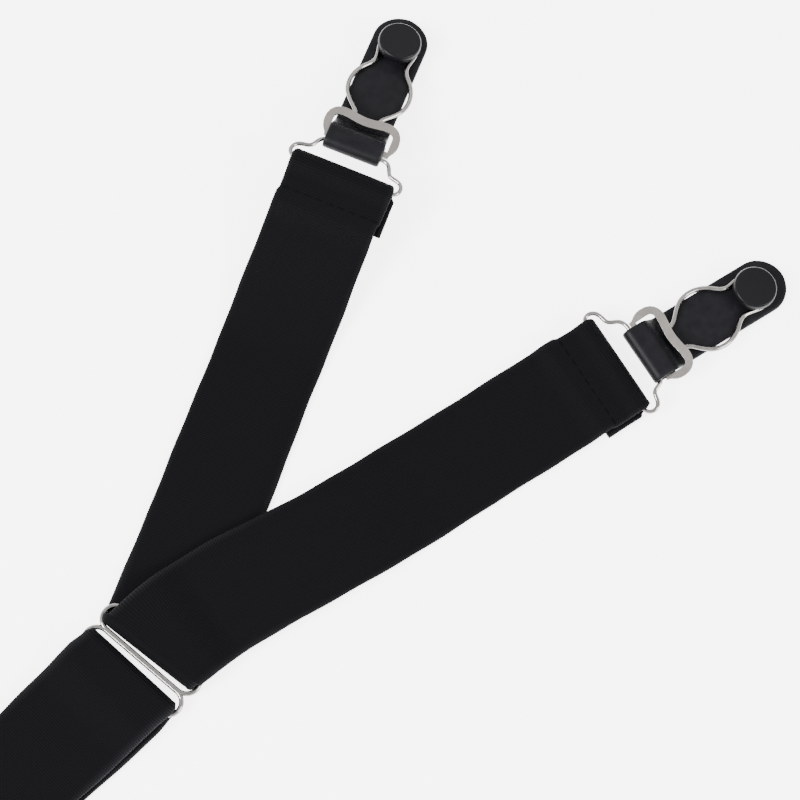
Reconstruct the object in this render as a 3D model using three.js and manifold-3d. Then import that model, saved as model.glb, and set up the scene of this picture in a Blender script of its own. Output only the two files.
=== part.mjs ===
// A shirt stay lying flat: an elastic fork whose two legs end in clips for the shirt tail,
// joined by a wire buckle to a doubled lower band with a plain clasp for the sock.
// Millimetres, +Z up, +Y from the sock end towards the fork.
import * as THREE from 'three';
import { mergeVertices } from 'three/addons/utils/BufferGeometryUtils.js';
import Module from 'manifold-3d';

const wasm = await Module();
wasm.setup();

// Clearance between any two pieces
const GAP = 0.3;

// Elastic bands
const BAND_WIDTH = 24.5;
const BAND_THICKNESS = 1.3;
const LEFT_LEG_LENGTH = 118.1;
const RIGHT_LEG_LENGTH = 125.4;
const LOWER_BAND_LENGTH = 113;
const FLAP_LENGTH = 12;
const FLAP_SHIFT = 1.25;
const END_SHIFT = 0.4;
const FOLDED_WIDTH = 23.1;
const LAYER_OFFSET = 0.9;
const SETTLING_LENGTH = 7;
const CROSSING_LENGTH = 48;
const LIFT_RUN = 46;

// Runs over which a band's layers part: beyond the crossing, beside the buckle, the hanger and
// the clasp, over the flap's end, and sideways
const CROSSING_RAMP = 26;
const BUCKLE_RAMP = 9;
const HANGER_RAMP = 3.4;
const CLASP_RAMP = 8.6;
const FLAP_RAMP = 5;
const SIDE_RAMP = 1.2;
const BAR_MARGIN = 1;
const FORK_FOLD_GAP = 0.7;
const LOWER_FOLD_GAP = 1;

// Junction buckle: two wire windows that share a bar
const BUCKLE_WIRE = 1.1;
const BUCKLE_WINDOW = 5.9;
const BUCKLE_SIDE_ROOM = 0.4;
const BUCKLE_SHIFT = 0.5;
const BAR_SPREAD = 0.12;

// Hanger: the bent wire between a leg and its clip
const HANGER_WIRE = 1.0;
const HANGER_REACH = 7.5;
const HANGER_SIDE_ROOM = 1.1;
const HANGER_LEAN = 0.5;

// Clip: leather tab, button, catch plate and catch loop
const TAB_WIDTH = 13;
const TAB_THICKNESS = 1.2;
const TAB_REACH = 38.9;
const TAB_FLAP = 4;
const BUTTON_PLACE = 30.1;
const BUTTON_SIDE = 0.25;
const BUTTON_DIAMETER = 10.1;
const BUTTON_EASE = 0.35;
const BUTTON_HEIGHT = 2.2;
const POST_DIAMETER = 7;
const SHANK_DIAMETER = 2.8;
const LOOP_WIRE = 1.1;
const LOOP_EYE = 14.6;
const NECK_DROP = 4.7;
const PLATE_THICKNESS = 0.9;
const PLATE_WIDTH = 18.2;
const PLATE_PLAY = 0.4;
const PLATE_WAVE = 0.55;
const PLATE_TOP_BAR = 2;
const PLATE_FOOT_BAR = 1.4;
const PLATE_OPENING = 3.9;

// Shares that shape the catch plate: the heights where its ears and its opening begin to round,
// the place of its two crests, and how far its curves reach beside a crest and beside the dip
const EAR_SHOULDER = 0.7;
const EAR_TOP = 0.9;
const OPENING_SHOULDER = 0.8;
const CREST_PLACE = 0.72;
const CREST_REACH = 0.5;
const DIP_REACH = 0.3;

// Sock clasp, one plain plate
const CLASP_THICKNESS = 1.5;
const CLASP_BAR = 3;
const CLASP_RIM = 2.2;
const CLASP_BRIDGE = 4;
const CLASP_FILLET = 4.5;
const CLASP_TONGUE_WIDTH = 13;
const CLASP_TONGUE_LENGTH = 24;

// How each leg ends: height of the band's end above the floor, and the slope of its hanger
const LEFT_LIFT = 8.6;
const LEFT_HANGER_SLOPE = -10;
const LEFT_CLIP_HEADING = -19;
const LEFT_CLIP_SIDE = -0.85;
const LEFT_PLATE_SIDE = 0.4;
const RIGHT_LIFT = 1;
const RIGHT_HANGER_SLOPE = 8;
const RIGHT_CLIP_HEADING = 17;
const RIGHT_CLIP_SIDE = 1.2;
const RIGHT_PLATE_SIDE = -0.3;

// Facets
const WIRE_SIDES = 8;
const WIRE_STEPS = 64;
const LATHE_STEPS = 24;
const BEND_STEPS = 7;
const WIRE_CORNER_STEP = 22.5;
const TAB_END_STEP = 12;
const POST_STEP = 30;
const CURVE_STEPS = 6;
const FINE_SPACING = 0.8;
const BEND_SPACING = 1.6;
const LIFT_SPACING = 3;
const STRAIGHT_SPACING = 8;
const COURSE_CELLS = 240;

// Distance on each side of a point at which a slope is measured
const PROBE = 0.05;

// Plan courses: heading from +Y towards +X, in degrees, at shares of the leg's length
const leftCourse = [
  { share: 0, heading: -13 },
  { share: 0.06, heading: -18.5 },
  { share: 0.12, heading: -20.7 },
  { share: 0.5, heading: -20 },
  { share: 1, heading: -18.5 },
];
const rightCourse = [
  { share: 0, heading: 7 },
  { share: 0.06, heading: 9.5 },
  { share: 0.12, heading: 13.5 },
  { share: 0.2, heading: 19.6 },
  { share: 0.29, heading: 21.4 },
  { share: 0.4, heading: 18.8 },
  { share: 0.5, heading: 16.5 },
  { share: 1, heading: 17.1 },
];
const lowerCourse = [
  { share: 0, heading: 184.5 },
  { share: 0.12, heading: 185.3 },
  { share: 0.3, heading: 184.1 },
  { share: 1, heading: 183.8 },
];

// Half outline of the hanger's wire: across as a share of its half width, along of its reach
const hangerOutline = [
  { across: 0, along: 0 },
  { across: 0.45, along: 0 },
  { across: 0.88, along: 0 },
  { across: 0.97, along: 0.08 },
  { across: 1, along: 0.25 },
  { across: 0.95, along: 0.44 },
  { across: 0.84, along: 0.52 },
  { across: 0.73, along: 0.56 },
  { across: 0.675, along: 0.69 },
  { across: 0.645, along: 0.85 },
  { across: 0.56, along: 0.98 },
  { across: 0.46, along: 1 },
];

// Half outline of the catch loop below its neck: across as a share of half the eye, along of
// the way from the neck down to the foot
const loopOutline = [
  { across: 0.507, along: 0 },
  { across: 0.541, along: 0.062 },
  { across: 0.644, along: 0.134 },
  { across: 0.788, along: 0.202 },
  { across: 0.904, along: 0.286 },
  { across: 0.986, along: 0.392 },
  { across: 1, along: 0.499 },
  { across: 0.932, along: 0.622 },
  { across: 0.781, along: 0.714 },
  { across: 0.616, along: 0.79 },
  { across: 0.5, along: 0.84 },
  { across: 0.425, along: 0.885 },
  { across: 0.38, along: 0.941 },
  { across: 0.3, along: 1 },
];

// Heights of the layers above the surface that a band lies on
const layerMiddle = BAND_THICKNESS / 2;
const upperLayer = BAND_THICKNESS * 1.5 + GAP;
const buckleBarHeight = BAND_THICKNESS + GAP + BUCKLE_WIRE / 2;
const overBuckleBar = 2 * buckleBarHeight - layerMiddle;
const hangerBarHeight = BAND_THICKNESS + GAP + HANGER_WIRE / 2;
const overHangerBar = 2 * hangerBarHeight - layerMiddle;
const claspBarHeight = BAND_THICKNESS + GAP + CLASP_THICKNESS / 2;
const overClaspBar = 2 * claspBarHeight - layerMiddle;

// From a fold's outer edge back to the middle of its bend
const buckleFoldBack = overBuckleBar - buckleBarHeight + layerMiddle;
const hangerFoldBack = overHangerBar - hangerBarHeight + layerMiddle;
const claspFoldBack = overClaspBar - claspBarHeight + layerMiddle;

// Where the two bands' folds lie beside the buckle's shared bar, and their slant in degrees
const barEdge = BUCKLE_WIRE / 2 + BAR_SPREAD + GAP;
const forkFold = { x: BUCKLE_SHIFT + 0.35, y: barEdge + FORK_FOLD_GAP, skew: 3 };
const lowerFold = { x: BUCKLE_SHIFT + 0.1, y: -barEdge - LOWER_FOLD_GAP, skew: -1.8 };

// Heights and places in a clip, above the underside of its tab and from the hanger's bar
const tabAcross = new THREE.Vector3(1, 0, 0);
const tabLow = TAB_THICKNESS / 2;
const tabBarHeight = TAB_THICKNESS + GAP + HANGER_WIRE / 2;
const tabHigh = 2 * tabBarHeight - tabLow;
const loopHeight = TAB_THICKNESS + GAP + LOOP_WIRE / 2;
const headHeight = loopHeight + LOOP_WIRE / 2 + GAP;
const plateFoot = HANGER_WIRE / 2 + GAP + PLATE_FOOT_BAR / 2;
const plateFootEdge = plateFoot + PLATE_FOOT_BAR / 2;
const plateFootHeight = TAB_THICKNESS + GAP + PLATE_THICKNESS / 2;
const plateTopHeight = loopHeight + LOOP_WIRE / 2 + GAP + PLATE_THICKNESS / 2;
const plateRun = PLATE_FOOT_BAR / 2 + PLATE_OPENING + PLATE_TOP_BAR / 2;
const plateSlope = Math.asin((plateTopHeight - plateFootHeight) / plateRun);
const loopFoot = plateFoot + plateRun * Math.cos(plateSlope) + PLATE_TOP_BAR / 2 - LOOP_WIRE / 2;

const radians = THREE.MathUtils.degToRad;

// An easy step from 0 to 1 between two values, in either order
function smooth(value, from, to) {
  const share = THREE.MathUtils.clamp((value - from) / (to - from), 0, 1);
  return share * share * (3 - 2 * share);
}

// A course gives the heading and the place in plan at any distance from its start
function makeCourse(rows, length, start) {
  const headingAt = (distance) => {
    const share = THREE.MathUtils.clamp(distance / length, 0, 1);
    const next = Math.max(1, rows.findIndex((row) => row.share >= share));
    const before = rows[next - 1];
    const after = rows[next];
    const blend = (share - before.share) / (after.share - before.share);
    return radians(THREE.MathUtils.lerp(before.heading, after.heading, blend));
  };
  const places = [new THREE.Vector2(start.x, start.y)];
  for (let i = 0; i < COURSE_CELLS; i += 1) {
    const heading = headingAt(((i + 0.5) * length) / COURSE_CELLS);
    const step = new THREE.Vector2(Math.sin(heading), Math.cos(heading));
    places.push(places[i].clone().addScaledVector(step, length / COURSE_CELLS));
  }
  const placeAt = (distance) => {
    const step = THREE.MathUtils.clamp((distance * COURSE_CELLS) / length, 0, COURSE_CELLS);
    const cell = Math.min(COURSE_CELLS - 1, Math.floor(step));
    return places[cell].clone().lerp(places[cell + 1], step - cell);
  };
  return { headingAt, placeAt, length };
}

// A ribbon is a loft through stations: a centre, a direction across, a normal and a width
function station(centre, across, normal, width) {
  return { centre, across, normal, width };
}

function ribbonGeometry(stations, thickness, closed) {
  const positions = [];
  const corners = [[-1, -1], [1, -1], [1, 1], [-1, 1]];
  for (const { centre, across, normal, width } of stations) {
    for (const [sideways, upwards] of corners) {
      const corner = centre.clone()
        .addScaledVector(across, (sideways * width) / 2)
        .addScaledVector(normal, (upwards * thickness) / 2);
      positions.push(corner.x, corner.y, corner.z);
    }
  }
  return sweptGeometry(positions, stations.length, corners.length, closed);
}

// Joins rings of points into one closed surface, end to end or with a cap on each end
function sweptGeometry(positions, rings, sides, closed) {
  const index = [];
  const spans = closed ? rings : rings - 1;
  for (let ring = 0; ring < spans; ring += 1) {
    const here = ring * sides;
    const there = ((ring + 1) % rings) * sides;
    for (let side = 0; side < sides; side += 1) {
      const next = (side + 1) % sides;
      index.push(here + side, here + next, there + side);
      index.push(here + next, there + next, there + side);
    }
  }
  if (!closed) {
    const last = (rings - 1) * sides;
    for (let side = 1; side < sides - 1; side += 1) {
      index.push(0, side + 1, side);
      index.push(last, last + side, last + side + 1);
    }
  }
  const geometry = new THREE.BufferGeometry();
  geometry.setAttribute('position', new THREE.Float32BufferAttribute(positions, 3));
  geometry.setIndex(index);
  return facedOutwards(geometry);
}

function signedVolume(geometry) {
  const position = geometry.getAttribute('position');
  const index = geometry.getIndex();
  const corner = [new THREE.Vector3(), new THREE.Vector3(), new THREE.Vector3()];
  let volume = 0;
  for (let i = 0; i < index.count; i += 3) {
    corner.forEach((point, k) => point.fromBufferAttribute(position, index.getX(i + k)));
    volume += corner[0].dot(corner[1].clone().cross(corner[2])) / 6;
  }
  return volume;
}

function facedOutwards(geometry) {
  if (signedVolume(geometry) > 0) {
    return geometry;
  }
  const index = Array.from(geometry.getIndex().array);
  for (let i = 0; i < index.length; i += 3) {
    [index[i + 1], index[i + 2]] = [index[i + 2], index[i + 1]];
  }
  geometry.setIndex(index);
  return geometry;
}

// A round wire bent into a flat closed loop in the XY plane
function wireLoop(points, diameter, steps) {
  const curve = new THREE.CatmullRomCurve3(points, true, 'centripetal');
  const positions = [];
  for (let i = 0; i < steps; i += 1) {
    const share = i / steps;
    const centre = curve.getPointAt(share);
    const along = curve.getTangentAt(share);
    const outward = new THREE.Vector3(along.y, -along.x, 0).normalize();
    for (let side = 0; side < WIRE_SIDES; side += 1) {
      const turn = ((side + 0.5) / WIRE_SIDES) * 2 * Math.PI;
      positions.push(
        centre.x + (outward.x * Math.cos(turn) * diameter) / 2,
        centre.y + (outward.y * Math.cos(turn) * diameter) / 2,
        centre.z + (Math.sin(turn) * diameter) / 2,
      );
    }
  }
  return sweptGeometry(positions, steps, WIRE_SIDES, true);
}

// Both halves of a symmetrical outline, as points on one loop
function mirrored(half) {
  const other = half.filter((point) => point.x > 0).reverse();
  return [...half, ...other.map((point) => new THREE.Vector3(-point.x, point.y, point.z))];
}

// Joins and cuts
function solidOf(geometry) {
  const bare = geometry.clone();
  bare.deleteAttribute('normal');
  bare.deleteAttribute('uv');
  const merged = mergeVertices(bare, 1e-4);
  return new wasm.Manifold(new wasm.Mesh({
    numProp: 3,
    vertProperties: Float32Array.from(merged.getAttribute('position').array),
    triVerts: Uint32Array.from(merged.getIndex().array),
  }));
}

function geometryOf(solid) {
  const mesh = solid.getMesh();
  const geometry = new THREE.BufferGeometry();
  geometry.setAttribute('position', new THREE.Float32BufferAttribute(mesh.vertProperties, 3));
  geometry.setIndex(Array.from(mesh.triVerts));
  return geometry;
}

// Materials
const elastic = new THREE.MeshStandardMaterial({ color: 0x1c1d21, roughness: 0.92 });
const leather = new THREE.MeshStandardMaterial({ color: 0x2a2a30, roughness: 0.5 });
const blackPlastic = new THREE.MeshStandardMaterial({ color: 0x2c2c31, roughness: 0.45 });
const brightWire = new THREE.MeshStandardMaterial({ color: 0xd8d6d2, roughness: 0.18, metalness: 1 });
const satinPlate = new THREE.MeshStandardMaterial({ color: 0xaea8a3, roughness: 0.42, metalness: 1 });

function named(name, geometry, material) {
  const mesh = new THREE.Mesh(geometry, material);
  mesh.name = name;
  return mesh;
}

// Evenly spaced distances from one value to another, with both ends
function spaced(from, to, step) {
  const count = Math.max(1, Math.ceil(Math.abs(to - from) / step));
  return Array.from({ length: count + 1 }, (_, i) => from + ((to - from) * i) / count);
}

// Level directions of a heading: along it, and across it to the right
function levelFrame(heading) {
  return {
    ahead: new THREE.Vector3(Math.sin(heading), Math.cos(heading), 0),
    across: new THREE.Vector3(Math.cos(heading), -Math.sin(heading), 0),
  };
}

// One station of a band that lies along a course. Its middle is at layer.height(distance) and it
// is pushed aside by layer.shift(distance). The normal points up, or down where layer.side is -1.
function bandStation(course, layer, distance) {
  const heading = course.headingAt(distance);
  const settled = smooth(distance, buckleFoldBack, buckleFoldBack + SETTLING_LENGTH);
  const { across } = levelFrame(THREE.MathUtils.lerp(course.foldHeading, heading, settled));
  const { ahead } = levelFrame(heading);
  const rise = layer.height(distance + PROBE) - layer.height(distance - PROBE);
  const normal = new THREE.Vector3(0, 0, 1)
    .addScaledVector(ahead, -rise / (2 * PROBE))
    .normalize()
    .multiplyScalar(layer.side);
  const place = course.placeAt(distance);
  const centre = new THREE.Vector3(place.x, place.y, layer.height(distance))
    .addScaledVector(across, layer.shift(distance));
  return station(centre, across, normal, layer.width(distance));
}

// A band is squeezed a little where it folds between the ends of a buckle's window
function foldedWidth(distance) {
  const free = smooth(distance, buckleFoldBack, buckleFoldBack + SIDE_RAMP);
  return THREE.MathUtils.lerp(FOLDED_WIDTH, BAND_WIDTH, free);
}

// How far a band's upper layer is raised on its way over the outer bar of a buckle's window
function overOuterBar(distance) {
  const level = BUCKLE_WINDOW + BUCKLE_WIRE / 2 + 2 * BAR_MARGIN;
  return smooth(distance, level + BUCKLE_RAMP, level);
}

// A half turn of a band round a bar. The turn goes from the lower layer to the upper one where
// rising is 1, and back where it is -1. The normal points out of the turn, or in where side is -1.
function foldStations(fold, rising, side) {
  const turns = spaced(-90, 90, 180 / BEND_STEPS).slice(1, -1);
  return turns.map((turn) => {
    const outward = fold.ahead.clone().multiplyScalar(Math.cos(radians(turn)));
    outward.z = Math.sin(radians(turn * rising));
    const centre = fold.centre.clone().addScaledVector(outward, fold.radius);
    return station(centre, fold.across, outward.multiplyScalar(side), fold.width);
  });
}

// The bend at a leg's far end, round the hanger's bar
function hangerFold(leg) {
  const frame = levelFrame(leg.course.headingAt(leg.course.length));
  const place = leg.course.placeAt(leg.course.length - hangerFoldBack);
  const height = leg.lift(leg.course.length - hangerFoldBack) + hangerBarHeight;
  return {
    ...frame,
    centre: new THREE.Vector3(place.x, place.y, height).addScaledVector(frame.across, END_SHIFT),
    radius: overHangerBar - hangerBarHeight,
    width: BAND_WIDTH,
  };
}

// A leg's long layer: over the flap and the hanger's bar at its end, and as base says elsewhere
function legLayer(leg, base, side) {
  const left = (at) => leg.course.length - at;
  const overBarEdge = hangerFoldBack + BAR_MARGIN;
  return {
    side,
    height: (at) => leg.lift(at) + base(at)
      + (upperLayer - layerMiddle) * smooth(left(at), FLAP_LENGTH + FLAP_RAMP, FLAP_LENGTH + GAP)
      + (overHangerBar - upperLayer) * smooth(left(at), overBarEdge + HANGER_RAMP, overBarEdge),
    shift: (at) => END_SHIFT * smooth(left(at), FLAP_LENGTH - SIDE_RAMP, FLAP_LENGTH - 2 * SIDE_RAMP),
    width: foldedWidth,
  };
}

// The flap under a leg's end. It is turned in a little askew, so it shows beside the leg.
function flapLayer(leg, side) {
  const end = leg.course.length - hangerFoldBack;
  const loose = (at) => smooth(end - at, 0, SIDE_RAMP);
  return {
    side,
    height: (at) => leg.lift(at) + layerMiddle,
    shift: (at) => THREE.MathUtils.lerp(END_SHIFT, FLAP_SHIFT, loose(at)),
    width: () => BAND_WIDTH,
  };
}

function flapSpots(leg) {
  const end = leg.course.length - hangerFoldBack;
  return [
    ...spaced(leg.course.length - FLAP_LENGTH, end - SIDE_RAMP, LIFT_SPACING),
    ...spaced(end - SIDE_RAMP, end, SIDE_RAMP / 3).slice(1),
  ];
}

// Distances along a leg's long layer, closer together where it bends
function legSpots(leg) {
  const end = leg.course.length;
  return [
    ...spaced(buckleFoldBack, buckleFoldBack + SIDE_RAMP, SIDE_RAMP / 3),
    ...spaced(buckleFoldBack + SIDE_RAMP, BAND_WIDTH, BEND_SPACING).slice(1),
    ...spaced(BAND_WIDTH, end - FLAP_LENGTH - FLAP_RAMP, LIFT_SPACING).slice(1),
    ...spaced(end - FLAP_LENGTH - FLAP_RAMP, end - hangerFoldBack, FINE_SPACING).slice(1),
  ];
}

function makeFork(leftLeg, rightLeg) {
  const lowered = () => layerMiddle;
  const crossing = (at) => layerMiddle
    + (upperLayer - layerMiddle) * smooth(at, CROSSING_LENGTH + CROSSING_RAMP, CROSSING_LENGTH)
    + (overBuckleBar - upperLayer) * overOuterBar(at);
  const place = leftLeg.course.placeAt(buckleFoldBack);
  const inward = levelFrame(leftLeg.course.foldHeading);
  const buckleFold = {
    centre: new THREE.Vector3(place.x, place.y, buckleBarHeight),
    ahead: inward.ahead.negate(),
    across: inward.across,
    radius: overBuckleBar - buckleBarHeight,
    width: FOLDED_WIDTH,
  };
  const leftLayer = legLayer(leftLeg, lowered, 1);
  const rightLayer = legLayer(rightLeg, crossing, -1);
  const leftFlap = flapLayer(leftLeg, -1);
  const rightFlap = flapLayer(rightLeg, 1);
  const stations = [
    ...flapSpots(leftLeg).map((at) => bandStation(leftLeg.course, leftFlap, at)),
    ...foldStations(hangerFold(leftLeg), 1, 1),
    ...legSpots(leftLeg).reverse().map((at) => bandStation(leftLeg.course, leftLayer, at)),
    ...foldStations(buckleFold, 1, -1),
    ...legSpots(rightLeg).map((at) => bandStation(rightLeg.course, rightLayer, at)),
    ...foldStations(hangerFold(rightLeg), -1, -1),
    ...flapSpots(rightLeg).reverse().map((at) => bandStation(rightLeg.course, rightFlap, at)),
  ];
  return named('fork_band', ribbonGeometry(stations, BAND_THICKNESS, false), elastic);
}

// The lower band is an endless loop laid double, its under layer a little to the right
function makeLowerBand(course) {
  const end = course.length;
  const overClaspEdge = claspFoldBack + CLASP_BAR + BAR_MARGIN;
  const apart = (at) => LAYER_OFFSET / 2
    * smooth(at, buckleFoldBack, SETTLING_LENGTH) * smooth(end - at, claspFoldBack, SETTLING_LENGTH);
  const under = { side: -1, height: () => layerMiddle, shift: (at) => -apart(at), width: foldedWidth };
  const over = {
    side: 1,
    height: (at) => upperLayer
      + (overBuckleBar - upperLayer) * overOuterBar(at)
      + (overClaspBar - upperLayer) * smooth(end - at, overClaspEdge + CLASP_RAMP, overClaspEdge),
    shift: apart,
    width: foldedWidth,
  };
  const spots = [
    ...spaced(buckleFoldBack, buckleFoldBack + SIDE_RAMP, SIDE_RAMP / 3),
    ...spaced(buckleFoldBack + SIDE_RAMP, BAND_WIDTH, BEND_SPACING).slice(1),
    ...spaced(BAND_WIDTH, end - BAND_WIDTH, STRAIGHT_SPACING).slice(1),
    ...spaced(end - BAND_WIDTH, end - claspFoldBack, BEND_SPACING).slice(1),
  ];
  const buckleEnd = course.placeAt(buckleFoldBack);
  const claspEnd = course.placeAt(end - claspFoldBack);
  const buckleFrame = levelFrame(course.foldHeading);
  const buckleFold = {
    centre: new THREE.Vector3(buckleEnd.x, buckleEnd.y, buckleBarHeight),
    ahead: buckleFrame.ahead.negate(),
    across: buckleFrame.across,
    radius: overBuckleBar - buckleBarHeight,
    width: FOLDED_WIDTH,
  };
  const claspFold = {
    ...levelFrame(course.headingAt(end)),
    centre: new THREE.Vector3(claspEnd.x, claspEnd.y, claspBarHeight),
    radius: overClaspBar - claspBarHeight,
    width: BAND_WIDTH,
  };
  const stations = [
    ...spots.map((at) => bandStation(course, under, at)),
    ...foldStations(claspFold, 1, 1),
    ...[...spots].reverse().map((at) => bandStation(course, over, at)),
    ...foldStations(buckleFold, -1, 1),
  ];
  return named('lower_band', ribbonGeometry(stations, BAND_THICKNESS, true), elastic);
}

// Two wire windows, one on each side of the shared bar, soldered into one piece
function makeBuckle() {
  const halfLength = BAND_WIDTH / 2 + BUCKLE_SIDE_ROOM + BUCKLE_WIRE / 2;
  const radius = BUCKLE_WINDOW / 2;
  const round = halfLength - radius;
  const windowLoop = (direction) => {
    const middle = direction * (radius + BAR_SPREAD);
    const corner = (side, turn) => new THREE.Vector3(
      side * (round + radius * Math.cos(radians(turn))),
      middle + radius * Math.sin(radians(turn)),
      0,
    );
    const turns = spaced(-90, 90, WIRE_CORNER_STEP);
    const points = [
      ...turns.map((turn) => corner(1, turn)),
      ...[0.5, 0, -0.5].map((share) => new THREE.Vector3(share * round, middle + radius, 0)),
      ...turns.map((turn) => corner(-1, -turn)),
      ...[-0.5, 0, 0.5].map((share) => new THREE.Vector3(share * round, middle - radius, 0)),
    ];
    return solidOf(wireLoop(points, BUCKLE_WIRE, WIRE_STEPS));
  };
  const mesh = named('junction_buckle', geometryOf(windowLoop(1).add(windowLoop(-1))), brightWire);
  mesh.position.set(BUCKLE_SHIFT, 0, buckleBarHeight);
  return mesh;
}

function makeHanger(side) {
  const halfWidth = BAND_WIDTH / 2 + HANGER_SIDE_ROOM;
  const half = hangerOutline.map(({ across, along }) => (
    new THREE.Vector3(across * halfWidth, along * HANGER_REACH, 0)
  ));
  const outline = mirrored([...half, new THREE.Vector3(0, HANGER_REACH, 0)]);
  for (const point of outline) {
    point.x += (HANGER_LEAN * point.y) / HANGER_REACH;
  }
  return named(`${side}_hanger`, wireLoop(outline, HANGER_WIRE, WIRE_STEPS), brightWire);
}

// The leather tab: a strip with a round end, carried up over the hanger's bar and folded back
function makeTab(side) {
  const layer = (y, height, slope, width) => {
    const normal = new THREE.Vector3(0, -slope, 1).normalize();
    return station(new THREE.Vector3(0, y, height), tabAcross, normal, width);
  };
  const radius = TAB_WIDTH / 2;
  const roundEnd = spaced(90 - TAB_END_STEP / 2, 0, TAB_END_STEP).map((turn) => {
    const y = TAB_REACH - radius + radius * Math.sin(radians(turn));
    return layer(y, tabLow, 0, TAB_WIDTH * Math.cos(radians(turn)));
  });
  const drop = tabHigh - tabLow;
  const slopeFrom = plateFootEdge + GAP;
  const slopeTo = loopFoot - LOOP_WIRE / 2;
  const risen = (y) => tabLow + drop * smooth(y, slopeTo, slopeFrom);
  const frontSpots = [
    ...spaced(slopeTo, slopeFrom, FINE_SPACING),
    ...spaced(slopeFrom, 0, BEND_SPACING).slice(1),
  ];
  const front = frontSpots.map((y) => (
    layer(y, risen(y), (risen(y + PROBE) - risen(y - PROBE)) / (2 * PROBE), TAB_WIDTH)
  ));
  const fold = {
    centre: new THREE.Vector3(0, 0, tabBarHeight),
    ahead: new THREE.Vector3(0, -1, 0),
    across: tabAcross,
    radius: tabHigh - tabBarHeight,
    width: TAB_WIDTH,
  };
  const down = new THREE.Vector3(0, 0, -1);
  const flap = [0, TAB_FLAP / 2, TAB_FLAP].map((y) => (
    station(new THREE.Vector3(0, y, tabLow), tabAcross, down, TAB_WIDTH)
  ));
  const stations = [...roundEnd, ...front, ...foldStations(fold, -1, 1), ...flap];
  const strip = ribbonGeometry(stations, TAB_THICKNESS, false);
  const drill = new THREE.CylinderGeometry(
    SHANK_DIAMETER / 2 + GAP,
    SHANK_DIAMETER / 2 + GAP,
    TAB_THICKNESS * 3,
    LATHE_STEPS,
  );
  drill.rotateX(Math.PI / 2);
  drill.translate(BUTTON_SIDE, BUTTON_PLACE, tabLow);
  return named(`${side}_grip_tab`, geometryOf(solidOf(strip).subtract(solidOf(drill))), leather);
}

// The button: a shank in the tab, a post for the catch loop and a flat head with an eased rim
function makeButton(side) {
  const head = BUTTON_DIAMETER / 2;
  const profile = [
    [0, GAP],
    [SHANK_DIAMETER / 2, GAP],
    [SHANK_DIAMETER / 2, TAB_THICKNESS + GAP],
    [POST_DIAMETER / 2, TAB_THICKNESS + GAP],
    [POST_DIAMETER / 2, headHeight],
    [head - BUTTON_EASE, headHeight],
    [head, headHeight + BUTTON_EASE],
    [head, headHeight + BUTTON_HEIGHT - BUTTON_EASE],
    [head - BUTTON_EASE, headHeight + BUTTON_HEIGHT],
    [0, headHeight + BUTTON_HEIGHT],
  ].map(([radius, height]) => new THREE.Vector2(radius, height));
  const lathe = new THREE.LatheGeometry(profile, LATHE_STEPS);
  lathe.rotateX(Math.PI / 2);
  const button = named(`${side}_button`, geometryOf(solidOf(lathe)), blackPlastic);
  button.position.set(BUTTON_SIDE, BUTTON_PLACE, 0);
  return button;
}

// The wire loop that traps the cloth: round the post, in to a neck, out to the eye, and under
// the catch plate's top bar
function makeLoop(side) {
  const hug = POST_DIAMETER / 2 + GAP + LOOP_WIRE / 2;
  const neck = BUTTON_PLACE - NECK_DROP;
  const roundPost = spaced(90, 0, POST_STEP).map((turn) => new THREE.Vector3(
    hug * Math.cos(radians(turn)),
    BUTTON_PLACE + hug * Math.sin(radians(turn)),
    0,
  ));
  const below = loopOutline.map(({ across, along }) => new THREE.Vector3(
    (across * LOOP_EYE) / 2,
    THREE.MathUtils.lerp(neck, loopFoot, along),
    0,
  ));
  const half = [...roundPost, ...below, new THREE.Vector3(0, loopFoot, 0)];
  half[0].x = 0;
  const loop = named(`${side}_catch_loop`, wireLoop(mirrored(half), LOOP_WIRE, WIRE_STEPS), brightWire);
  loop.position.set(BUTTON_SIDE, 0, loopHeight);
  return loop;
}

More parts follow.
